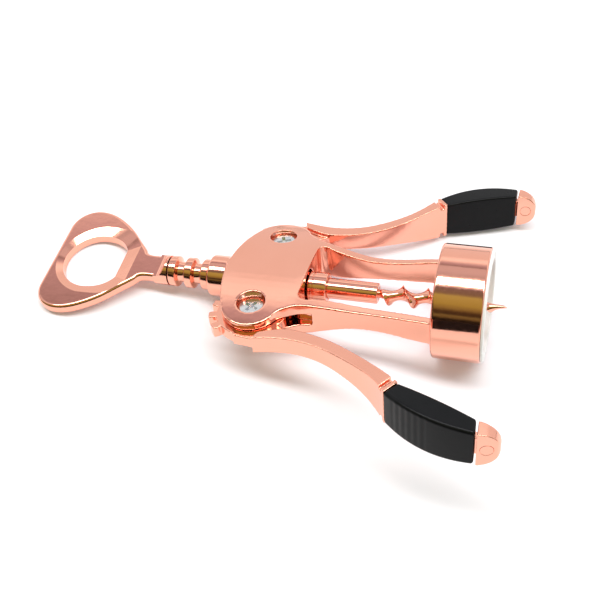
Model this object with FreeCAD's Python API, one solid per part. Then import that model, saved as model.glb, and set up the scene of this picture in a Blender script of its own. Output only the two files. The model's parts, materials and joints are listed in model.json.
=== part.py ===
import FreeCAD, Part
import math
import os
from FreeCAD import Vector

# Wing corkscrew, in millimetres. Working frame: the spindle runs along X with the bell at +X, and
# the two levers pivot at (0, -PIVOT_Y) and (0, +PIVOT_Y) about axes along Z. lay_down() at the end
# turns the finished object the way it rests on a table: on its bell, its opener and one grip.

# ---- gearing ---------------------------------------------------------------------------
MODULE = 2.05
GEAR_TEETH = 14                      # teeth that a full circle of the lever gear would have
FIRST_TOOTH = -5                     # teeth cut on the sector, counted from the rack
LAST_TOOTH = 2
PITCH = math.pi * MODULE
GEAR_R = MODULE * GEAR_TEETH / 2
RACK_R = 5.15                        # pitch radius of the ring rack
PIVOT_Y = GEAR_R + RACK_R
PRESSURE = math.radians(20)
GEAR_ADD = 0.75
GEAR_DED = 2.0
TOOTH_FOOT = 8.0                     # depth under the base circle at which a tooth's sides would meet
RACK_ADD = 0.50
RACK_DED = 1.40
BACKLASH = 0.36
RING_X = -36.45                      # centre of the ring next to the handle
RINGS = 8
WEB_T = 4.0                          # thickness of the gear web
SLOT_T = 4.5                         # slot for the web between the cheeks
SLOT_R = 15.9                        # gear pocket round each pivot
SLOT_END = ((8, 15.6), (20.6, 15.6), (20.6, 30), (8, 30))    # where the slot runs on into the leg

# ---- frame casting -----------------------------------------------------------------------
LOBE_R = 10.3
LOBE_END = math.radians(25)          # where the lobe runs out into the leg
PLATE_X = -14.6                      # handle end of the cheeks
CROWN_Z = 7.8                        # half thickness on the centre line
CROWN_R = 140.0
WAIST_DROP = 3.4                     # how much thinner the legs are at the waist
FLARE_RISE = 1.2
BOSS_X = -21.7
BOSS_R = 7.6
BORE_R = 6.05
WINDOW_X = 15.0
BELL_X = 60.8
BELL_LEN = 16.4
BELL_R = 19.8
BELL_BORE = 17.9
BELL_LIP = 2.2                       # thickness of the ring that carries the legs
LINER_R = 16.2
LINER_LIP = 0.9                      # liner flange over the bell's edge
LINER_FLANGE_R = 19.3
EDGE = 0.7                           # rounding of the bell and boss edges

# ---- pivots ------------------------------------------------------------------------------
RUNNING = 0.05                       # radial clearance of the turning fits
COUNTERBORE_R = 4.9
SEAT_Z = 3.2
SLEEVE_R = 3.0
SCREW_R = 1.75
HEAD_R = 4.4
HEAD_T = 1.0
CROSS_W = 1.2
CROSS_L = 5.2
CROSS_T = 0.8

# ---- levers ------------------------------------------------------------------------------
ARM_H = 3.3                          # half height of the arm at the gear end
ARM_END_H = 6.7                      # half height of the arm at the grip
ARM_IN = Vector(56.4, 48.9, 0)       # inner corner between arm and grip
ARM_OUT = Vector(52.8, 53.6, 0)
GRIP_IN = Vector(80.9, 58.9, 0)      # inner corner at the cap end of the grip
GRIP_OUT = Vector(81.1, 64.6, 0)
GRIP_MID = Vector(66.0, 61.8, 0)     # crown of the grip's outer side
GRIP_H = 6.7                         # half height of the grip at its ends
GRIP_BELLY = 0.7
TANG_H = 3.4
TANG_W = 2.4
CAP_GAP = 0.7
CAP_LEN = 6.4
CAP_H = 6.2
TENON_W = 2.0                        # end of the tang inside the cap
TENON_L = 5.2
PIN_R = 1.9
PIN_AT = 3.0                         # from the cap's face to the middle of its cross pin

# ---- handle, spindle and worm ------------------------------------------------------------
PLATE_T = 4.2
PLATE_EDGE = 1.3                     # rounding of the opener's outer edges
OPENER_X = -86.3                     # far end of the opener
OPENER_W = 24.5                      # its half width
OPENER_CORNER = 10.0
NECK_X = -38.2                       # shoulder of the handle on the rack
NECK_R = 5.6
NECK_W = 5.15                        # half width of the blade that runs into the neck
FLANK_X = -46.0                      # where the opener's flanks meet the blade
BLADE_X = -42.6                      # where the blade starts to thicken into the round neck
BLADE_RUN = 4.0                      # how far the thickening takes
HOLE_X = -70.6                       # middle of the opener's hole
HOLE_W = 12.3                        # half width of the hole under the plate
HOLE_LIP = 11.5                      # from the middle of the hole to its lip
HOLE_FLARE = 4.1                     # how far the shallow dish round the hole reaches
HOLE_DISH = 1.3                      # depth of the dish
SOCKET_R = 1.5                       # spigot of the rack shaft in the handle
SOCKET_L = 8.0
LOCK_X = -44.2                       # blind pin that locks the spigot from below
LOCK_TOP = 1.0
COLLAR_X = 15.2
COLLAR_LEN = 6.8
COLLAR_R = 5.3
SHANK_R = 3.65
SHANK_X = 40.0
WORM_R = 3.8
WORM_CORE = 1.5
WORM_PITCH = 8.7
WORM_PHASE = 230.0                   # degrees about the spindle at which the blade starts
WORM_TIP = 84.0
WORM_TAPER = 13.0
DOWEL_R = 0.8
DOWEL_X = 33.0
DOWEL_H = SHANK_R - 0.3

OUT = "parts"
AXIS_X = Vector(1, 0, 0)
AXIS_Y = Vector(0, 1, 0)
AXIS_Z = Vector(0, 0, 1)
ORIGIN = Vector(0, 0, 0)


def at(x, y, z=0.0):
    return Vector(x, y, z)


def cyl(radius, x0, x1):
    """Cylinder along the spindle from x0 to x1."""
    return Part.makeCylinder(radius, x1 - x0, at(x0, 0), AXIS_X)


def post(radius, y, z0, z1):
    """Cylinder along a pivot axis from z0 to z1."""
    return Part.makeCylinder(radius, z1 - z0, at(0, y, z0), AXIS_Z)


def line(a, b):
    return Part.LineSegment(a, b).toShape()


def arc(a, b, c):
    return Part.Arc(a, b, c).toShape()


def spline(points, start=None, end=None):
    curve = Part.BSplineCurve()
    if start is None:
        curve.interpolate(points)
    else:
        curve.interpolate(Points=points, InitialTangent=start, FinalTangent=end)
    return curve.toShape()


def polygon(points):
    return [line(a, b) for a, b in zip(points, points[1:] + points[:1])]


def wire(edges):
    return Part.Wire(Part.__sortEdges__(edges))


def slab(edges, half):
    """Solid between z = -half and z = +half from closed edges in the XY plane."""
    return Part.Face(wire(edges)).extrude(at(0, 0, 2 * half)).translated(at(0, 0, -half))


def revolve(profile):
    """Solid of revolution about the spindle from (x, radius) corners."""
    return Part.Face(wire(polygon([at(x, r) for x, r in profile]))).revolve(ORIGIN, AXIS_X, 360)


def fuse(shapes):
    return shapes[0].fuse(shapes[1:]).removeSplitter()


def near(shape):
    """The other side's copy of a piece made on the +Y side."""
    return shape.mirror(ORIGIN, AXIS_Y)


def smooth(u):
    u = max(0.0, min(1.0, u))
    return u * u * (3 - 2 * u)


# ---- frame and bell -----------------------------------------------------------------------

def crown_height(x, y):
    """Half thickness of the casting: crowned across, thinner at the waist of the legs."""
    waist = WAIST_DROP * smooth((x - 12) / 26)
    flare = FLARE_RISE * smooth((x - 40) / 22)
    return CROWN_Z - waist + flare - y * y / (2 * CROWN_R)


def crown_skin(side):
    rows = [[at(x, y, side * crown_height(x, y)) for y in range(-36, 37, 6)] for x in range(-40, 80, 5)]
    surface = Part.BSplineSurface()
    surface.interpolate(rows)
    return surface.toShape().extrude(at(0, 0, -side * 30))


def lobe_point(angle):
    return LOBE_R * math.cos(angle), PIVOT_Y + LOBE_R * math.sin(angle)


def casting_outline():
    """The cheeks round both pivots and the outer sides of the legs."""
    drop = -PLATE_X - LOBE_R
    end_arc_x = (PIVOT_Y ** 2 - drop ** 2) / (2 * drop)
    start = lobe_point(math.atan2(PIVOT_Y, -end_arc_x))
    stop = lobe_point(LOBE_END)
    leg = [stop, (12.2, 21.0), (15.6, 19.1), (20, 18.0), (27, 16.8), (36, 16.0), (44, 16.2), (52, 17.1),
           (62, 18.2)]
    edges = []
    for side in (1, -1):
        points = [at(x, side * y) for x, y in leg]
        away = at(math.sin(LOBE_END), -side * math.cos(LOBE_END))
        edges.append(arc(at(start[0], side * start[1]), at(0, side * (PIVOT_Y + LOBE_R)), points[0]))
        edges.append(spline(points, away, at(1, side * 0.1)))
    edges.append(arc(at(start[0], -start[1]), at(PLATE_X, 0), at(*start)))
    edges.append(line(at(62, 18.2), at(62, -18.2)))
    return edges


def window_outline():
    leg = [(19.4, 14.6), (25, 13.3), (33, 12.6), (42, 12.9), (52, 14.1), (66, 15.6)]
    edges = [line(at(WINDOW_X, 13), at(WINDOW_X, -13)), line(at(66, 15.6), at(66, -15.6))]
    for side in (1, -1):
        edges.append(spline([at(x, side * y) for x, y in leg]))
        edges.append(arc(at(WINDOW_X, side * 13), at(16.2, side * 14.8), at(19.4, side * 14.6)))
    return edges


def make_frame():
    casting = slab(casting_outline(), 12).common(crown_skin(1)).common(crown_skin(-1))
    boss = cyl(BOSS_R, BOSS_X, 4)
    boss = boss.makeFillet(EDGE, [e for e in boss.Edges if abs(e.CenterOfMass.x - BOSS_X) < 0.01])
    bell = cyl(BELL_R, BELL_X, BELL_X + BELL_LEN)
    bell = bell.makeFillet(EDGE, [e for e in bell.Edges if e.Length > 50])
    bell = bell.cut(cyl(BELL_BORE, BELL_X + BELL_LIP, BELL_X + BELL_LEN + 1))
    body = fuse([casting.cut(slab(window_outline(), 20)), boss, bell])
    cuts = [cyl(BORE_R, BOSS_X - 1, WINDOW_X + 1), cyl(LINER_R - 1.2, BELL_X - 1, BELL_X + BELL_LIP + 1)]
    for side in (1, -1):
        cuts.append(post(SLOT_R, side * PIVOT_Y, -SLOT_T / 2, SLOT_T / 2))
        cuts.append(slab(polygon([at(x, side * y) for x, y in SLOT_END]), SLOT_T / 2))
        cuts.append(post(SLEEVE_R, side * PIVOT_Y, -12, 12))
        cuts.append(post(COUNTERBORE_R, side * PIVOT_Y, SEAT_Z, 12))
        cuts.append(post(COUNTERBORE_R, side * PIVOT_Y, -12, -SEAT_Z))
    return body.cut(cuts)


def make_liner():
    x0 = BELL_X + BELL_LIP
    x1 = BELL_X + BELL_LEN
    tube = cyl(BELL_BORE, x0, x1).fuse(cyl(LINER_FLANGE_R, x1, x1 + LINER_LIP)).removeSplitter()
    tube = tube.cut(cyl(LINER_R, x0 - 1, x1 + 2))
    return tube.makeFillet(0.4, [e for e in tube.Edges if abs(e.CenterOfMass.x - x1 - LINER_LIP) < 0.01])


# ---- pivots ---------------------------------------------------------------------------------

def make_sleeve():
    """Barrel nut: the shaft on which a lever turns, with its own head under the frame."""
    barrel = post(SLEEVE_R, PIVOT_Y, -SEAT_Z, SEAT_Z)
    head = post(HEAD_R, PIVOT_Y, -SEAT_Z - HEAD_T, -SEAT_Z)
    return fuse([barrel, head]).cut(post(SCREW_R, PIVOT_Y, -SEAT_Z, SEAT_Z + 1))


def make_screw():
    top = SEAT_Z + HEAD_T
    head = post(HEAD_R, PIVOT_Y, SEAT_Z, top)
    head = head.makeFillet(0.5, [e for e in head.Edges if abs(e.CenterOfMass.z - top) < 0.01])
    shank = post(SCREW_R, PIVOT_Y, -SEAT_Z + 0.4, SEAT_Z + 0.2)
    body = fuse([head, shank])
    for half_x, half_y in ((CROSS_L / 2, CROSS_W / 2), (CROSS_W / 2, CROSS_L / 2)):
        corner = at(-half_x, PIVOT_Y - half_y, top - CROSS_T)
        recess = Part.makeBox(2 * half_x, 2 * half_y, CROSS_T + 1, corner)
        body = body.cut(recess.rotate(at(0, PIVOT_Y, 0), AXIS_Z, 25))
    return body


# ---- levers ---------------------------------------------------------------------------------

def involute(angle, radius):
    """Point of an involute of the gear's base circle that leaves it at the given angle."""
    base = GEAR_R * math.cos(PRESSURE)
    roll = math.sqrt(max(0.0, (radius / base) ** 2 - 1))
    turn = angle + roll - math.atan(roll)
    return radius * math.cos(turn), radius * math.sin(turn)


def tooth(centre):
    """One gear tooth about the pivot, pointing along the angle centre."""
    base = GEAR_R * math.cos(PRESSURE)
    roll = math.tan(PRESSURE)
    half = (PITCH - BACKLASH) / (4 * GEAR_R) + roll - PRESSURE
    tip = GEAR_R + GEAR_ADD
    flanks = []
    for side in (1, -1):
        points = []
        for step in range(5):
            x, y = involute(-half, base + (tip - base) * step / 4)
            px = x * math.cos(centre) - side * y * math.sin(centre)
            py = x * math.sin(centre) + side * y * math.cos(centre)
            points.append(at(px, py + PIVOT_Y))
        flanks.append(points)
    foot = base - TOOTH_FOOT
    root = at(foot * math.cos(centre), foot * math.sin(centre) + PIVOT_Y)
    left, right = flanks
    edges = [spline(left), spline(right), line(left[-1], right[-1])]
    edges += [line(left[0], root), line(right[0], root)]
    return slab(edges, WEB_T / 2)


def gear_phase():
    """Angle of the tooth that stands in the gap of the rack next to the line of the pivots."""
    count = round(-RING_X / PITCH)
    gap = RING_X + (count - 0.5) * PITCH
    return -math.pi / 2 + gap / GEAR_R


def make_web():
    step = 2 * math.pi / GEAR_TEETH
    parts = [post(GEAR_R - GEAR_DED, PIVOT_Y, -WEB_T / 2, WEB_T / 2)]
    for index in range(FIRST_TOOTH, LAST_TOOTH + 1):
        parts.append(tooth(gear_phase() + index * step))
    arm_root = [(-3.4, 30.4), (-2.6, 32.6), (5, 33.4), (16, 32.2), (16, 28.2), (10, 24), (0, 24)]
    parts.append(slab(polygon([at(x, y) for x, y in arm_root]), WEB_T / 2))
    return fuse(parts)


def arm_profile():
    """Side view of the arm: even at first, then flaring to the height of the grip."""
    flare = [(3, ARM_H), (24, ARM_H), (36, 3.9), (45, 5.2), (51, 6.5), (58, ARM_END_H + 0.4)]
    edges = []
    for x, half in (flare[0], flare[-1]):
        edges.append(line(at(x, 0, -half), at(x, 0, half)))
    for side in (1, -1):
        edges.append(spline([at(x, 0, side * half) for x, half in flare]))
    return Part.Face(wire(edges)).extrude(at(0, 80, 0))


def make_arm():
    waist = ((5.6, 30.9), (9.4, 29.1), (14.6, 27.6), (21, 28.1), (30, 30.7), (36.4, 33.9), (44, 38.9))
    back = ((4.4, 34.2), (10, 33.1), (16, 32.6), (22, 33.2), (28, 34.9), (36, 38.9), (44, 44.2))
    inner = [at(x, y) for x, y in waist] + [ARM_IN]
    outer = [at(x, y) for x, y in back] + [ARM_OUT]
    edges = [spline(inner), spline(outer), line(inner[0], outer[0]), line(ARM_IN, ARM_OUT)]
    return slab(edges, 10).common(arm_profile())


def arm_end():
    return (ARM_IN + ARM_OUT) * 0.5


def grip_end():
    return (GRIP_IN + GRIP_OUT) * 0.5


def grip_direction():
    return (grip_end() - arm_end()).normalize()


def cap_seat(distance):
    """Point on the cap's middle line, which runs along the spindle from the cap's face."""
    return grip_end() + grip_direction() * CAP_GAP + at(distance, 0)


def bar(a, b, width, half):
    """Flat bar of the given width from point a to point b."""
    across = AXIS_Z.cross((b - a).normalize()) * (width / 2)
    return slab(polygon([a + across, b + across, b - across, a - across]), half)


def make_lever():
    edge = (ARM_OUT - ARM_IN).normalize()
    inward = AXIS_Z.cross(edge).normalize()
    lever = fuse([make_web(), make_arm(), grip_tang(), cap_tenon(-0.5)])
    for side in (1, -1):
        corners = []
        for offset, run in ((-4, 1.4), (4, 1.4), (4, 3.0), (-4, 3.0)):
            corners.append(arm_end() + edge * offset + inward * run)
        groove = slab(polygon(corners), 1.0).translated(at(0, 0, side * (ARM_END_H - 0.3)))
        lever = lever.cut(groove)
    return lever.cut([post(SLEEVE_R + RUNNING, PIVOT_Y, -4, 4), cap_cross_hole()])


def grip_tang():
    """Bar that carries the grip, from inside the arm's end to the cap's face."""
    return bar(arm_end() - grip_direction() * 2, cap_seat(0), TANG_W, TANG_H)


def cap_tenon(start):
    return bar(cap_seat(start), cap_seat(TENON_L), TENON_W, TANG_H)


def cap_cross_hole():
    return Part.makeCylinder(PIN_R, 20, cap_seat(PIN_AT) - AXIS_Y * 10, AXIS_Y)


def make_grip():
    edges = [line(ARM_IN, GRIP_IN), line(GRIP_IN, GRIP_OUT), line(ARM_IN, ARM_OUT)]
    edges.append(arc(ARM_OUT, GRIP_MID, GRIP_OUT))
    body = slab(edges, 12)
    x0 = ARM_OUT.x - 1
    x1 = GRIP_OUT.x + 1
    mid = (x0 + x1) / 2
    side = [line(at(x0, 0, -GRIP_H), at(x0, 0, GRIP_H)), line(at(x1, 0, -GRIP_H), at(x1, 0, GRIP_H))]
    for sign in (1, -1):
        top = sign * (GRIP_H + GRIP_BELLY)
        side.append(arc(at(x0, 0, sign * GRIP_H), at(mid, 0, top), at(x1, 0, sign * GRIP_H)))
    body = body.common(Part.Face(wire(side)).extrude(at(0, 90, 0)))
    body = body.makeFillet(0.9, [e for e in body.Edges if e.Length > 20])
    reach = grip_direction() * 3
    return body.cut(bar(arm_end() - reach, grip_end() + reach, TANG_W, TANG_H))


def cap_body():
    """Flat dome that closes the lever's end beyond the grip."""
    a = GRIP_IN + grip_direction() * CAP_GAP
    b = GRIP_OUT + grip_direction() * CAP_GAP
    c = a + at(CAP_LEN, 0.9)
    d = b + at(CAP_LEN - 0.6, -1.4)
    nose = at(0.7, 0)
    body = slab([line(a, b), line(a, c), line(b, d), arc(c, (c + d) * 0.5 + nose, d)], 12)
    x0 = a.x - 1
    shoulder = x0 + 3.2
    brow = shoulder + 2.2
    low = CAP_H - 1.0
    side = [line(at(x0, 0, -CAP_H), at(x0, 0, CAP_H))]
    side.append(arc(at(brow, 0, low), at(c.x + nose.x, 0, 0), at(brow, 0, -low)))
    for sign in (1, -1):
        mid = at(shoulder, 0, sign * (CAP_H - 0.05))
        side.append(arc(at(x0, 0, sign * CAP_H), mid, at(brow, 0, sign * low)))
    return body.common(Part.Face(wire(side)).extrude(at(0, 90, 0)))


def make_cap():
    return cap_body().cut([grip_tang(), cap_tenon(-1), cap_cross_hole()])


def make_cap_pin():
    """Cross pin ground flush with both sides of the cap."""
    return cap_cross_hole().common(cap_body())


# ---- handle, spindle and worm ---------------------------------------------------------------

def opener_outline():
    """Flat end with round corners, flanks that sweep in to the blade, and the blade itself."""
    corner_x = OPENER_X + OPENER_CORNER
    corner_y = OPENER_W - OPENER_CORNER
    reach = OPENER_CORNER * math.sqrt(0.5)
    flank = [(-71.3, 23.7), (-65.5, 20.9), (-59.5, 16.4), (-54.2, 11.0), (-50.4, 7.0)]
    root_x = NECK_X - 2
    edges = []
    for x, y in ((OPENER_X, corner_y), (root_x, NECK_W)):
        edges.append(line(at(x, y), at(x, -y)))
    for sign in (1, -1):
        shoulder = at(corner_x, sign * OPENER_W)
        corner = at(corner_x - reach, sign * (corner_y + reach))
        neck = at(FLANK_X, sign * NECK_W)
        curve = [shoulder] + [at(x, sign * y) for x, y in flank] + [neck]
        edges.append(arc(at(OPENER_X, sign * corner_y), corner, shoulder))
        edges.append(spline(curve, at(5, 0), at(5, 0)))
        edges.append(line(neck, at(root_x, sign * NECK_W)))
    return edges


def opener_hole(flare, z):
    """D-shaped loop: a flat lip towards the neck and one round sweep about the rest."""
    half = HOLE_W + flare
    lip_x = HOLE_X + HOLE_LIP + 1.4 * flare
    lip = half * 0.52
    back = HOLE_X - HOLE_LIP - 0.6 * flare
    edges = [line(at(lip_x, lip, z), at(lip_x, -lip, z))]
    for sign in (1, -1):
        side = [at(lip_x, sign * lip, z), at(lip_x - 2.8, sign * half * 0.79, z), at(HOLE_X, sign * half, z)]
        edges.append(spline(side, at(-0.5, sign), at(-1, 0)))
    edges.append(arc(at(HOLE_X, half, z), at(back, 0, z), at(HOLE_X, -half, z)))
    return wire(edges)


def neck_profile():
    """Side view of the handle: flat blade that thickens into the round neck."""
    half = PLATE_T / 2
    full = NECK_R + 0.2
    start = BLADE_X - 2
    rise = ((BLADE_X, half), (BLADE_X + 0.3 * BLADE_RUN, half + 0.3),
            (BLADE_X + 0.64 * BLADE_RUN, half + 1.5), (BLADE_X + BLADE_RUN, full))
    edges = [line(at(start, 0, half), at(start, 0, -half)), line(at(NECK_X, 0, -full), at(NECK_X, 0, full))]
    for sign in (1, -1):
        curve = [at(x, 0, sign * z) for x, z in rise]
        edges.append(line(at(start, 0, sign * half), curve[0]))
        edges.append(spline(curve, at(1, 0), at(1, 0, sign)))
        edges.append(line(curve[-1], at(NECK_X, 0, sign * full)))
    return Part.Face(wire(edges)).extrude(at(0, 20, 0)).translated(at(0, -10))


def make_handle():
    half = PLATE_T / 2
    plate = slab(opener_outline(), half)
    plate = plate.makeFillet(PLATE_EDGE, [e for e in plate.Edges if abs(abs(e.CenterOfMass.z) - half) < 0.01])
    neck = cyl(NECK_R, BLADE_X - 1, NECK_X).common(neck_profile())
    body = fuse([plate, neck])
    wall = [opener_hole(0, -half - 0.01), opener_hole(0.3, half - HOLE_DISH)]
    dish = [opener_hole(0.3, half - HOLE_DISH), opener_hole(HOLE_FLARE, half + 0.01)]
    body = body.cut([Part.makeLoft(wall, True, True), Part.makeLoft(dish, True, True)])
    return body.cut([cyl(SOCKET_R, NECK_X - SOCKET_L, NECK_X + 1), dowel(LOCK_X, -PLATE_T, LOCK_TOP)])


def dowel(x, z0, z1):
    return Part.makeCylinder(DOWEL_R, z1 - z0, at(x, 0, z0), AXIS_Z)


def make_rack():
    root = RACK_R - RACK_DED
    tip = RACK_R + RACK_ADD
    slope = math.tan(PRESSURE)
    half = (PITCH - BACKLASH) / 4
    profile = [(NECK_X, 0), (NECK_X, root)]
    for index in range(RINGS):
        x = RING_X + index * PITCH
        wide = half + RACK_DED * slope
        slim = half - RACK_ADD * slope
        profile += [(max(x - wide, NECK_X + 0.01), root), (x - slim, tip), (x + slim, tip), (x + wide, root)]
    profile += [(COLLAR_X, root), (COLLAR_X, SHANK_R), (SHANK_X - 0.5, SHANK_R), (SHANK_X, SHANK_R - 0.5)]
    profile.append((SHANK_X, 0))
    shaft = fuse([revolve(profile), cyl(SOCKET_R, NECK_X - SOCKET_L, NECK_X + 1)])
    holes = [dowel(DOWEL_X, -DOWEL_H, DOWEL_H), dowel(LOCK_X, -PLATE_T, LOCK_TOP)]
    return shaft.cut([cyl(WORM_CORE, SHANK_X - 10, SHANK_X + 1)] + holes)


def make_collar():
    end_x = COLLAR_X + COLLAR_LEN
    collar = cyl(COLLAR_R, COLLAR_X + 0.1, end_x)
    collar = collar.makeFillet(0.5, [e for e in collar.Edges if abs(e.CenterOfMass.x - end_x) < 0.01])
    return collar.cut(cyl(SHANK_R + RUNNING, COLLAR_X - 1, end_x + 1))


def make_worm():
    """Core with one helical blade, both running out to the point."""
    x0 = SHANK_X + 2.0
    turns_len = WORM_TIP - x0
    core = cyl(WORM_CORE, SHANK_X - 10, WORM_TIP)
    helix = Part.makeHelix(WORM_PITCH, turns_len, WORM_CORE)
    half = WORM_PITCH * 0.33
    inner = WORM_CORE - 0.5
    tri = [at(inner, 0, -half), at(inner, 0, half), at(WORM_R, 0, 0)]
    pipe = Part.Wire(helix).makePipeShell([wire(polygon(tri))], True, True)
    blade = pipe.rotate(ORIGIN, AXIS_Y, 90).translated(at(x0, 0, 0)).rotate(ORIGIN, AXIS_X, WORM_PHASE)
    taper = [(SHANK_X - 12, 0), (SHANK_X - 12, 1.6), (SHANK_X, 1.6), (SHANK_X + 4, WORM_R + 1),
             (WORM_TIP - WORM_TAPER, WORM_R + 1), (WORM_TIP, 0)]
    return fuse([core, blade]).common(revolve(taper)).cut(dowel(DOWEL_X, -DOWEL_H, DOWEL_H))


# ---- assembly -------------------------------------------------------------------------------

def make_all():
    sided = {"lever": make_lever(), "grip": make_grip(), "end_cap": make_cap(), "cap_pin": make_cap_pin(),
             "pivot_screw": make_screw(), "pivot_sleeve": make_sleeve()}
    nodes = {"frame_body": make_frame(), "bell_liner": make_liner()}
    for name, shape in sided.items():
        nodes[name + "_far"] = shape
        nodes[name + "_near"] = near(shape)
    spindle = {"opener_handle": make_handle(), "rack_shaft": make_rack(), "worm": make_worm(),
               "handle_pin": dowel(LOCK_X, -PLATE_T / 2, LOCK_TOP),
               "worm_pin": dowel(DOWEL_X, -DOWEL_H, DOWEL_H)}
    return nodes, spindle, make_collar()


def lay_down(shape, roll, tilt, lift, middle):
    """Roll about the spindle, raise the bell end, and set the lowest points on z = 0."""
    turned = shape.rotated(ORIGIN, AXIS_X, -roll).rotated(ORIGIN, AXIS_Y, -tilt)
    return turned.translated(at(-middle.x, -middle.y, lift))


def lying_angles(lever):
    """Tilt that seats the bell's heel and the opener's end, and roll that sets one grip on the table."""
    heel_x = BELL_X + EDGE
    end_x = OPENER_X + PLATE_EDGE
    drop = (BELL_R - EDGE) - (PLATE_T / 2 - PLATE_EDGE)
    reach = math.hypot(heel_x - end_x, drop)
    tilt = math.atan2(drop, heel_x - end_x) + math.asin((EDGE - PLATE_EDGE) / reach)
    lift = (BELL_R - EDGE) * math.cos(tilt) + EDGE - heel_x * math.sin(tilt)
    low, high = 0.0, 25.0
    for _ in range(24):
        roll = (low + high) / 2
        bottom = lever.rotated(ORIGIN, AXIS_X, -roll).rotated(ORIGIN, AXIS_Y, -math.degrees(tilt))
        if bottom.optimalBoundingBox(False).ZMin + lift > 0:
            low = roll
        else:
            high = roll
    return low, math.degrees(tilt), lift


def main():
    os.makedirs(OUT, exist_ok=True)
    nodes, spindle, collar = make_all()
    side = Part.makeCompound([nodes[name] for name in ("lever_far", "grip_far", "end_cap_far")])
    roll, tilt, lift = lying_angles(side)
    for name, shape in spindle.items():
        nodes[name] = shape.rotated(ORIGIN, AXIS_X, roll)
    nodes["stop_collar"] = collar
    flat = [lay_down(s, roll, tilt, lift, ORIGIN) for s in nodes.values()]
    bounds = Part.makeCompound(flat).optimalBoundingBox(False)
    middle = at(bounds.Center.x, bounds.Center.y)
    for name, shape in nodes.items():
        placed = lay_down(shape, roll, tilt, lift, middle)
        placed.exportStep(os.path.join(OUT, name + ".step"))


if __name__ == "__main__":
    main()
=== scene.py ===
import bpy
import bmesh
import json
import math
from mathutils import Matrix, Vector


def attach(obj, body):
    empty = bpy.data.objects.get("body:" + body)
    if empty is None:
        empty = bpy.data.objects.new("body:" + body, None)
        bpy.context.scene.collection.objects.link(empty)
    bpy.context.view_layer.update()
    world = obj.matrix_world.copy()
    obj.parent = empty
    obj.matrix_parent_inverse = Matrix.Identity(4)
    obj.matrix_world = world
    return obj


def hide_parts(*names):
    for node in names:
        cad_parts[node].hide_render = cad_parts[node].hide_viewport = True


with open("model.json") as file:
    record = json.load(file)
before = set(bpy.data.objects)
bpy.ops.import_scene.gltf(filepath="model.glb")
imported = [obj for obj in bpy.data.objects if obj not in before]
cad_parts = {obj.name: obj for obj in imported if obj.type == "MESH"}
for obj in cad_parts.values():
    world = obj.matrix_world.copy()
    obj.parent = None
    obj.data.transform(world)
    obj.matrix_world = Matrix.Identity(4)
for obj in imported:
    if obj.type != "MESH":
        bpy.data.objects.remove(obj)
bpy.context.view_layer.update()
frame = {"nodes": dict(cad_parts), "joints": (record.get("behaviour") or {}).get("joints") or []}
nodes = frame["nodes"]
joints = {joint["name"]: joint for joint in frame["joints"]}

MM = 0.001

# ---- camera: azimuth and elevation about the object, distance and lens -----------------------
VIEW_AZIMUTH = 16.16
VIEW_ELEVATION = 52.47
VIEW_ROLL = -2.05
VIEW_DISTANCE = 0.3205
VIEW_TARGET = Vector((0.00969, -0.00173, 0.00700))
VIEW_LENS = 53.20


def make_camera():
    azimuth = math.radians(VIEW_AZIMUTH)
    elevation = math.radians(VIEW_ELEVATION)
    back = Vector((math.sin(azimuth) * math.cos(elevation), -math.cos(azimuth) * math.cos(elevation),
                   math.sin(elevation)))
    level = Vector((math.cos(azimuth), math.sin(azimuth), 0))
    upright = back.cross(level)
    turn = math.radians(VIEW_ROLL)
    right = math.cos(turn) * level + math.sin(turn) * upright
    up = math.cos(turn) * upright - math.sin(turn) * level
    data = bpy.data.cameras.new("camera")
    data.lens = VIEW_LENS
    data.sensor_width = 36
    data.clip_start = 0.01
    data.dof.use_dof = False
    camera = bpy.data.objects.new("camera", data)
    place = Matrix((right, up, back)).transposed().to_4x4()
    place.translation = VIEW_TARGET + back * VIEW_DISTANCE
    camera.matrix_world = place
    bpy.context.scene.collection.objects.link(camera)
    bpy.context.scene.camera = camera


# ---- materials ---------------------------------------------------------------------------------

NOISE_LOW = 0.3                         # between these two lie most values of a noise texture
NOISE_HIGH = 0.7


class Graph:
    """Small helper for building a node material."""

    def __init__(self, name):
        self.material = bpy.data.materials.new(name)
        self.material.use_nodes = True
        self.tree = self.material.node_tree
        self.shader = self.tree.nodes["Principled BSDF"]

    def add(self, kind, **inputs):
        node = self.tree.nodes.new(kind)
        for key, value in inputs.items():
            node.inputs[key.replace("_", " ")].default_value = value
        return node

    def link(self, source, target):
        self.tree.links.new(source, target)

    def set(self, **values):
        for key, value in values.items():
            self.shader.inputs[key.replace("_", " ")].default_value = value


def noise(graph, scale, detail):
    """Noise in the piece's own coordinates."""
    place = graph.add("ShaderNodeTexCoord")
    texture = graph.add("ShaderNodeTexNoise", Scale=scale, Detail=detail, Roughness=0.55)
    graph.link(place.outputs["Object"], texture.inputs["Vector"])
    return texture.outputs["Fac"]


def base_colour(graph, source, low, high):
    ramp = graph.add("ShaderNodeValToRGB")
    first, last = ramp.color_ramp.elements
    first.position = NOISE_LOW
    first.color = (*low, 1)
    last.position = NOISE_HIGH
    last.color = (*high, 1)
    graph.link(source, ramp.inputs["Fac"])
    graph.link(ramp.outputs["Color"], graph.shader.inputs["Base Color"])


def roughness(graph, source, low, high):
    span = graph.add("ShaderNodeMapRange", From_Min=NOISE_LOW, From_Max=NOISE_HIGH, To_Min=low, To_Max=high)
    graph.link(source, span.inputs["Value"])
    graph.link(span.outputs["Result"], graph.shader.inputs["Roughness"])


def bump(graph, source, strength, distance):
    node = graph.add("ShaderNodeBump", Strength=strength, Distance=distance)
    graph.link(source, node.inputs["Height"])
    graph.link(node.outputs["Normal"], graph.shader.inputs["Normal"])


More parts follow.
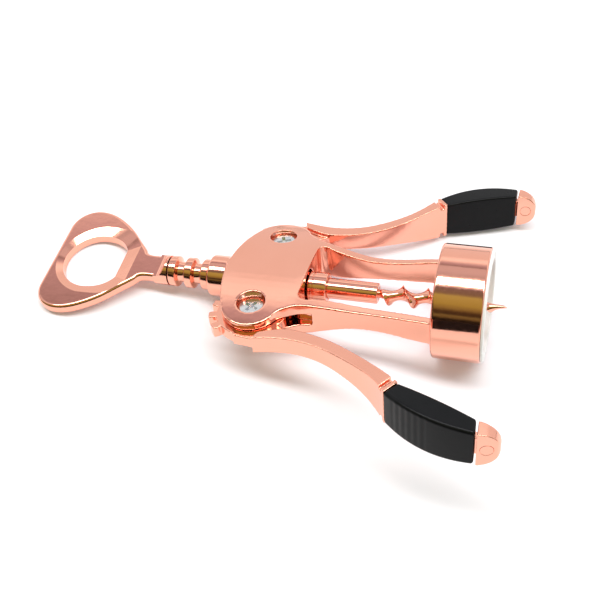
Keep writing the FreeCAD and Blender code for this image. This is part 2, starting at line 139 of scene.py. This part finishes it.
def rose_gold():
    graph = Graph("rose_gold_polished")
    graph.set(Metallic=1.0)
    base_colour(graph, noise(graph, 55.0, 2.0), (0.92, 0.425, 0.305), (0.94, 0.445, 0.325))
    roughness(graph, noise(graph, 900.0, 4.0), 0.06, 0.13)
    bump(graph, noise(graph, 240.0, 2.0), 0.06, 0.0004)
    return graph.material


def steel():
    graph = Graph("screw_steel_bright")
    graph.set(Metallic=1.0)
    tone = noise(graph, 400.0, 3.0)
    base_colour(graph, tone, (0.62, 0.64, 0.66), (0.78, 0.79, 0.80))
    roughness(graph, tone, 0.16, 0.30)
    return graph.material


def black_plastic():
    graph = Graph("black_grip_plastic")
    graph.set(IOR=1.34, Specular_IOR_Level=0.3)
    tone = noise(graph, 300.0, 3.0)
    base_colour(graph, tone, (0.0016, 0.0018, 0.0026), (0.0032, 0.0034, 0.0044))
    roughness(graph, tone, 0.27, 0.38)
    bump(graph, noise(graph, 2600.0, 3.0), 0.12, 0.0001)
    return graph.material


def white_plastic():
    graph = Graph("white_liner_plastic")
    graph.set(Roughness=0.38)
    base_colour(graph, noise(graph, 120.0, 2.0), (0.83, 0.82, 0.81), (0.87, 0.865, 0.86))
    bump(graph, noise(graph, 1500.0, 2.0), 0.05, 0.0001)
    return graph.material


def floor_material():
    """White paper that glows a little, so that the shadows on it stay light and neutral."""
    graph = Graph("floor_white")
    graph.set(Roughness=0.6, Emission_Color=(0.84, 0.84, 1.0, 1.0), Emission_Strength=0.12)
    base_colour(graph, noise(graph, 8.0, 2.0), (0.87, 0.86, 0.89), (0.89, 0.88, 0.91))
    return graph.material


# ---- floor and lights ---------------------------------------------------------------------------

FLOOR_HALF = 3.0                        # metres from the middle to each side

OVERHEAD_LENGTH = 1.1                   # long softbox above the object, in metres and watts
OVERHEAD_WIDTH = 0.15
OVERHEAD_Z = 0.62
OVERHEAD_POWER = 4.5

# Studio seen by the metal: angle in degrees from the near horizon over the top to the far horizon,
# with the colour of the light that comes from there.
STUDIO = (
    (0, (0.010, 0.009, 0.010)), (17, (0.020, 0.016, 0.010)), (20, (0.15, 0.14, 0.05)),
    (24, (0.20, 0.20, 0.07)), (27, (0.06, 0.045, 0.02)), (32, (0.08, 0.06, 0.025)),
    (37, (0.25, 0.23, 0.07)), (46, (0.42, 0.44, 0.10)), (62, (0.50, 0.55, 0.16)),
    (67, (0.24, 0.22, 0.14)), (78, (0.20, 0.17, 0.16)), (81, (0.9, 0.9, 0.9)),
    (83, (1.0, 1.0, 1.0)), (99, (1.0, 1.0, 1.0)), (103, (0.55, 0.54, 0.58)),
    (112, (0.70, 0.70, 0.75)), (124, (0.72, 0.71, 0.76)), (126.5, (0.30, 0.26, 0.28)),
    (128.5, (0.46, 0.42, 0.47)), (133, (0.62, 0.56, 0.64)), (138, (1.10, 1.10, 1.10)),
    (141, (1.20, 1.30, 1.30)), (146, (1.15, 1.20, 1.20)), (151, (0.94, 0.94, 0.93)),
    (180, (0.92, 0.92, 0.92)),
)
STUDIO_GAIN = 1.3                       # keeps the stops of the ramp between 0 and 1


def make_floor():
    mesh = bpy.data.meshes.new("floor")
    corners = [(-FLOOR_HALF, -FLOOR_HALF, 0), (FLOOR_HALF, -FLOOR_HALF, 0),
               (FLOOR_HALF, FLOOR_HALF, 0), (-FLOOR_HALF, FLOOR_HALF, 0)]
    mesh.from_pydata(corners, [], [(0, 1, 2, 3)])
    mesh.materials.append(floor_material())
    floor = bpy.data.objects.new("floor", mesh)
    bpy.context.scene.collection.objects.link(floor)


def make_overhead():
    data = bpy.data.lights.new("overhead", "AREA")
    data.shape = "RECTANGLE"
    data.size = OVERHEAD_LENGTH
    data.size_y = OVERHEAD_WIDTH
    data.energy = OVERHEAD_POWER
    light = bpy.data.objects.new("overhead", data)
    light.location = (0, 0, OVERHEAD_Z)
    light.rotation_euler = Vector((0, 0, -OVERHEAD_Z)).to_track_quat("-Z", "Y").to_euler()
    bpy.context.scene.collection.objects.link(light)


def make_studio():
    """World whose colour follows the angle over the top, from the near to the far horizon."""
    world = bpy.data.worlds.new("studio")
    world.use_nodes = True
    tree = world.node_tree
    background = tree.nodes["Background"]

    def math_node(operation, source, value=None):
        node = tree.nodes.new("ShaderNodeMath")
        node.operation = operation
        tree.links.new(source, node.inputs[0])
        if value is not None:
            node.inputs[1].default_value = value
        return node

    place = tree.nodes.new("ShaderNodeTexCoord")
    split = tree.nodes.new("ShaderNodeSeparateXYZ")
    tree.links.new(place.outputs["Generated"], split.inputs["Vector"])
    toward = math_node("MULTIPLY", split.outputs["Y"], -1)
    angle = math_node("ARCTAN2", split.outputs["Z"])
    tree.links.new(toward.outputs["Value"], angle.inputs[1])
    share = math_node("DIVIDE", angle.outputs["Value"], math.pi)
    colours = tree.nodes.new("ShaderNodeValToRGB")
    stops = colours.color_ramp.elements
    while len(stops) < len(STUDIO):
        stops.new(0.5)
    for stop, (degrees, colour) in zip(stops, STUDIO):
        stop.position = degrees / 180
        stop.color = (*(channel / STUDIO_GAIN for channel in colour), 1)
    tree.links.new(share.outputs["Value"], colours.inputs["Fac"])
    tree.links.new(colours.outputs["Color"], background.inputs["Color"])
    background.inputs["Strength"].default_value = STUDIO_GAIN
    bpy.context.scene.world = world


# ---- working frame of the casting, taken from the joints ------------------------------------------

FAR_HINGE = Vector(joints["lever_far_hinge"]["pos_m"])
NEAR_HINGE = Vector(joints["lever_near_hinge"]["pos_m"])
AXIS_UP = Vector(joints["lever_far_hinge"]["axis"]).normalized()
AXIS_ALONG = Vector(joints["spindle_slide"]["axis"]).normalized()
AXIS_ACROSS = AXIS_UP.cross(AXIS_ALONG).normalized()
MIDDLE = (FAR_HINGE + NEAR_HINGE) / 2


def placed(across, up):
    """Matrix from a piece's own axes (x along the spindle) to the room."""
    matrix = Matrix((AXIS_ALONG, across, up)).transposed().to_4x4()
    matrix.translation = MIDDLE
    return matrix


# The rack and the worm are turned with the opener, which lies level.
SPINDLE_ACROSS = Vector((0, 1, 0))
SPINDLE_UP = AXIS_ALONG.cross(SPINDLE_ACROSS).normalized()
SPINDLE_PLACE = placed(SPINDLE_ACROSS, SPINDLE_UP)
FRAME_PLACE = placed(AXIS_ACROSS, AXIS_UP)

# ---- tools for the detailed pieces, dimensions in millimetres --------------------------------------

LATHE_STEPS = 160
BELL_STEPS = 256                        # steps round the bell and its liner


def stand_for(piece, body, node):
    """The piece moves with a body and is shown in place of a CAD node."""
    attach(piece, body)
    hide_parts(node)


def rounded_copy(node, name, body, cell, passes, material, keep=None):
    """A cast-looking version of a node: fine even mesh with every edge softened."""
    piece = nodes[node].copy()
    piece.data = nodes[node].data.copy()
    piece.name = name
    piece.data.name = name
    bpy.context.scene.collection.objects.link(piece)
    remesh = piece.modifiers.new("grid", "REMESH")
    remesh.mode = "VOXEL"
    remesh.voxel_size = cell * MM
    remesh.use_smooth_shade = True
    soften = piece.modifiers.new("soften", "SMOOTH")
    soften.factor = 0.5
    soften.iterations = passes
    graph = bpy.context.evaluated_depsgraph_get()
    mesh = bpy.data.meshes.new_from_object(piece.evaluated_get(graph))
    piece.modifiers.clear()
    piece.data = mesh
    mesh.name = name
    mesh.materials.clear()
    mesh.materials.append(material)
    if keep is not None:
        work = bmesh.new()
        work.from_mesh(mesh)
        drop = [v for v in work.verts if not keep(v.co)]
        bmesh.ops.delete(work, geom=drop, context="VERTS")
        work.to_mesh(mesh)
        work.free()
    stand_for(piece, body, node)


def add_piece(name, verts, faces, place, body, node, material):
    """A smooth piece from points in millimetres that stands for a CAD node."""
    mesh = bpy.data.meshes.new(name)
    mesh.from_pydata([place @ (Vector(v) * MM) for v in verts], [], faces)
    mesh.materials.append(material)
    for polygon in mesh.polygons:
        polygon.use_smooth = True
    piece = bpy.data.objects.new(name, mesh)
    bpy.context.scene.collection.objects.link(piece)
    work = bmesh.new()
    work.from_mesh(mesh)
    bmesh.ops.remove_doubles(work, verts=work.verts, dist=0.000001)
    bmesh.ops.recalc_face_normals(work, faces=work.faces)
    work.to_mesh(mesh)
    work.free()
    weights = piece.modifiers.new("weights", "WEIGHTED_NORMAL")
    weights.weight = 60
    stand_for(piece, body, node)


def rounded(corners, steps=6):
    """Points of a closed loop of (x, y, radius) corners, each corner replaced by an arc."""
    points = []
    count = len(corners)
    for index, (x, y, radius) in enumerate(corners):
        here = Vector((x, y))
        before = Vector(corners[index - 1][:2]) - here
        after = Vector(corners[(index + 1) % count][:2]) - here
        if radius == 0:
            points.append(here)
            continue
        half = before.angle(after) / 2
        run = min(radius / math.tan(half), before.length * 0.49, after.length * 0.49)
        radius = run * math.tan(half)
        inward = (before.normalized() + after.normalized()).normalized()
        middle = here + inward * (radius / math.sin(half))
        first = here + before.normalized() * run - middle
        last = here + after.normalized() * run - middle
        turn = math.atan2(first.x * last.y - first.y * last.x, first.dot(last))
        for step in range(steps + 1):
            points.append(middle + Matrix.Rotation(turn * step / steps, 2) @ first)
    return points


def skin(rows, size, closed):
    """Faces between neighbouring rows of a grid of points whose rows are closed loops."""
    faces = []
    for row in range(rows if closed else rows - 1):
        a = row * size
        b = (row + 1) % rows * size
        for index in range(size):
            after = (index + 1) % size
            faces.append((a + index, a + after, b + after, b + index))
    if not closed:
        faces.append(tuple(range(size)))
        faces.append(tuple((rows - 1) * size + index for index in range(size)))
    return faces


def lathe(name, corners, place, body, node, material, steps=LATHE_STEPS):
    """Closed profile of (x, radius, rounding) corners turned about the spindle."""
    loop = rounded(corners)
    verts = []
    for step in range(steps):
        angle = 2 * math.pi * step / steps
        verts += [(p.x, p.y * math.cos(angle), p.y * math.sin(angle)) for p in loop]
    add_piece(name, verts, skin(steps, len(loop), True), place, body, node, material)


# ---- spindle ---------------------------------------------------------------------------------------

BORE_R = 0.05                           # a turned piece stays just off its own axis
RUNNING = 0.05                          # radial clearance of the collar on the shank

NECK_X = -38.2
RINGS = 8
RING_X = -36.45
RING_PITCH = math.pi * 2.05
RING_TOP = 1.3                          # half width of a ring at its tip and at its root
RING_FOOT = 2.05
RACK_ROOT = 3.75
RACK_TIP = 5.65
SHANK_R = 3.65
SHANK_END = 40.0

COLLAR_X = 15.3
COLLAR_END = 22.0
COLLAR_R = 5.3
GROOVE_R = 5.05                         # bottom of the line turned into the collar

WORM_R = 3.8
WORM_CORE = 1.45
WORM_PITCH = 8.7
WORM_START = 42.0
WORM_RISE = 3.0                         # run in which the blade grows out of the core
WORM_TIP = 84.0
WORM_TAPER = 12.5                       # run in which it shrinks to the point
WORM_PHASE = math.radians(230)
WORM_HOLLOW = 0.7                       # exponent that hollows the sides of the blade
WORM_RINGS = 520
WORM_SIDES = 72


def make_rack(material):
    corners = [(NECK_X, BORE_R, 0), (NECK_X, RACK_ROOT, 0)]
    for index in range(RINGS):
        x = RING_X + index * RING_PITCH
        start = max(x - RING_FOOT, NECK_X + 0.02)
        corners += [(start, RACK_ROOT, 0.5), (x - RING_TOP, RACK_TIP, 0.45),
                    (x + RING_TOP, RACK_TIP, 0.45), (x + RING_FOOT, RACK_ROOT, 0.5)]
    corners += [(COLLAR_X - 0.1, RACK_ROOT, 0), (COLLAR_X, SHANK_R, 0), (SHANK_END, SHANK_R, 0.5),
                (SHANK_END, BORE_R, 0)]
    lathe("rack_turned", corners, SPINDLE_PLACE, "spindle", "rack_shaft", material)


def make_collar(material):
    """Plain ring with a fine line turned into it near its upper end."""
    line = COLLAR_X + 1.5
    inner = SHANK_R + RUNNING
    corners = [(COLLAR_X, inner, 0), (COLLAR_X, COLLAR_R, 0.3), (line, COLLAR_R, 0.15),
               (line + 0.1, GROOVE_R, 0.05), (line + 0.4, GROOVE_R, 0.05), (line + 0.5, COLLAR_R, 0.15),
               (COLLAR_END, COLLAR_R, 0.6), (COLLAR_END, inner, 0)]
    lathe("collar_turned", corners, FRAME_PLACE, "carriage", "stop_collar", material)


def make_worm(material):
    """Core with a hollow-ground helical blade, run out to the point. The points follow its crest."""
    first = SHANK_END - 0.5
    verts = []
    for ring in range(WORM_RINGS + 1):
        x = first + (WORM_TIP - first) * ring / WORM_RINGS
        rise = min(1.0, max(0.0, (x - SHANK_END - 0.5) / WORM_RISE))
        tail = max(0.0, min(1.0, (WORM_TIP - x) / WORM_TAPER))
        limit = 0.04 + (WORM_R + 0.3) * tail ** 0.8
        crest = 2 * math.pi * (x - WORM_START) / WORM_PITCH + WORM_PHASE
        for side in range(WORM_SIDES):
            phase = 2 * math.pi * side / WORM_SIDES - math.pi
            away = abs(phase) / math.pi
            blade = 1 - (1 - (1 - away) ** 2) ** WORM_HOLLOW
            full = WORM_CORE + (WORM_R - WORM_CORE) * blade * rise
            radius = min(full, limit * (0.45 + 0.55 * blade))
            angle = crest + phase
            verts.append((x, radius * math.sin(angle), -radius * math.cos(angle)))
    faces = skin(WORM_RINGS + 1, WORM_SIDES, False)
    add_piece("worm_ground", verts, faces, SPINDLE_PLACE, "spindle", "worm", material)


# ---- bell and liner --------------------------------------------------------------------------------

BELL_X = 60.8
BELL_END = 77.2
BELL_R = 19.8
BELL_BORE = 17.9
BELL_LIP = 2.2                          # thickness of the ring that carries the legs
MOUTH_R = 15.0                          # hole through that ring
LINER_R = 16.2
FLANGE_R = 19.3
FLANGE_T = 0.9
GAP = 0.02                              # keeps the liner's skin off the bell's


def make_bell(material):
    """Turned bell of the casting, with softly rounded rims."""
    floor_x = BELL_X + BELL_LIP
    corners = [(BELL_X, MOUTH_R, 0.3), (BELL_X, BELL_R, 1.0), (BELL_END, BELL_R, 0.7),
               (BELL_END, BELL_BORE, 0.1), (floor_x, BELL_BORE, 0.1), (floor_x, MOUTH_R, 0.3)]
    lathe("bell_turned", corners, FRAME_PLACE, "frame", "frame_body", material, BELL_STEPS)


def make_liner(material):
    start = BELL_X + BELL_LIP + 0.05
    outer = BELL_BORE - GAP
    flange = BELL_END + GAP
    end = BELL_END + FLANGE_T
    corners = [(start, LINER_R, 0.1), (start, outer, 0.1), (flange, outer, 0), (flange, FLANGE_R, 0.15),
               (end, FLANGE_R, 0.4), (end, LINER_R, 0.5)]
    lathe("liner_moulded", corners, FRAME_PLACE, "frame", "bell_liner", material, BELL_STEPS)


def before_bell(point):
    """The casting's own mesh ends just inside the bell, where the turned bell takes over."""
    return (point - MIDDLE).dot(AXIS_ALONG) < (BELL_X + 0.6) * MM


# ---- grips -----------------------------------------------------------------------------------------

ARM_IN = Vector((56.4, 48.9))           # corners of the grip, seen along the hinge
ARM_OUT = Vector((52.8, 53.6))
GRIP_IN = Vector((80.9, 58.9))
GRIP_OUT = Vector((81.1, 64.6))
GRIP_MID = Vector((66.0, 61.8))         # crown of its outer side
GRIP_H = 6.7
GRIP_BELLY = 0.7
GRIP_STATIONS = 150
END_INSETS = (0.45, 0.2, 0.06, 0.0)     # how far the first stations draw in, for a rounded end
INNER_ROUND = 0.8
OUTER_ROUND = 1.2

RIBS = 6                                # dents across the outer side
RIB_START = 0.10
RIB_END = 0.55
RIB_DEPTH = 0.22


def outer_side(u):
    """Point on the crowned outer side of the grip."""
    control = GRIP_MID * 2 - (ARM_OUT + GRIP_OUT) * 0.5
    return ARM_OUT * (1 - u) ** 2 + control * (2 * u * (1 - u)) + GRIP_OUT * u * u


def rib_wave(u):
    if not RIB_START < u < RIB_END:
        return 0.0
    return 0.5 - 0.5 * math.cos(2 * math.pi * RIBS * (u - RIB_START) / (RIB_END - RIB_START))


def make_grip(side, sign, material):
    verts = []
    for station in range(GRIP_STATIONS + 1):
        u = station / GRIP_STATIONS
        inner = ARM_IN.lerp(GRIP_IN, u)
        outer = outer_side(u)
        half = GRIP_H + GRIP_BELLY * (1 - (2 * u - 1) ** 2)
        inset = END_INSETS[min(station, GRIP_STATIONS - station, len(END_INSETS) - 1)]
        width = (outer - inner).length
        top = half - inset
        loop = rounded([(inset, -top, INNER_ROUND), (width - inset, -top, OUTER_ROUND),
                        (width - inset, top, OUTER_ROUND), (inset, top, INNER_ROUND)], 5)
        way = (outer - inner).normalized()
        for point in loop:
            outward = max(0.0, min(1.0, (point.x - width + 0.9) / 0.8))
            face_on = outward * max(0.0, 1 - abs(point.y) / (half - 0.6))
            dent = RIB_DEPTH * rib_wave(u) * min(1.0, face_on * 4)
            flat = inner + way * (point.x - dent)
            verts.append((flat.x, sign * flat.y, point.y))
    rows = GRIP_STATIONS + 1
    faces = skin(rows, len(verts) // rows, False)
    add_piece("grip_moulded_" + side, verts, faces, FRAME_PLACE, "lever_" + side, "grip_" + side, material)


# ---- assembly ------------------------------------------------------------------------------------

FRAME_CELL = 0.24                       # grid of the softened castings, in millimetres
LEVER_CELL = 0.2
CAP_CELL = 0.15


def paint(material, names):
    for name in names:
        mesh = nodes[name].data
        mesh.materials.clear()
        mesh.materials.append(material)


def main():
    make_camera()
    make_floor()
    make_studio()
    make_overhead()
    gold = rose_gold()
    black = black_plastic()
    white = white_plastic()
    paint(gold, nodes)
    paint(steel(), [name for name in nodes if name.startswith("pivot_")] + ["handle_pin", "worm_pin"])
    paint(black, ["grip_far", "grip_near"])
    paint(white, ["bell_liner"])
    rounded_copy("frame_body", "frame_cast", "frame", FRAME_CELL, 14, gold, before_bell)
    make_bell(gold)
    make_liner(white)
    make_rack(gold)
    make_collar(gold)
    make_worm(gold)
    for side, sign in (("far", 1), ("near", -1)):
        lever = "lever_" + side
        rounded_copy(lever, "lever_cast_" + side, lever, LEVER_CELL, 9, gold)
        rounded_copy("end_cap_" + side, "end_cap_cast_" + side, lever, CAP_CELL, 8, gold)
        make_grip(side, sign, black)
    bpy.context.scene.view_settings.view_transform = "Standard"


main()
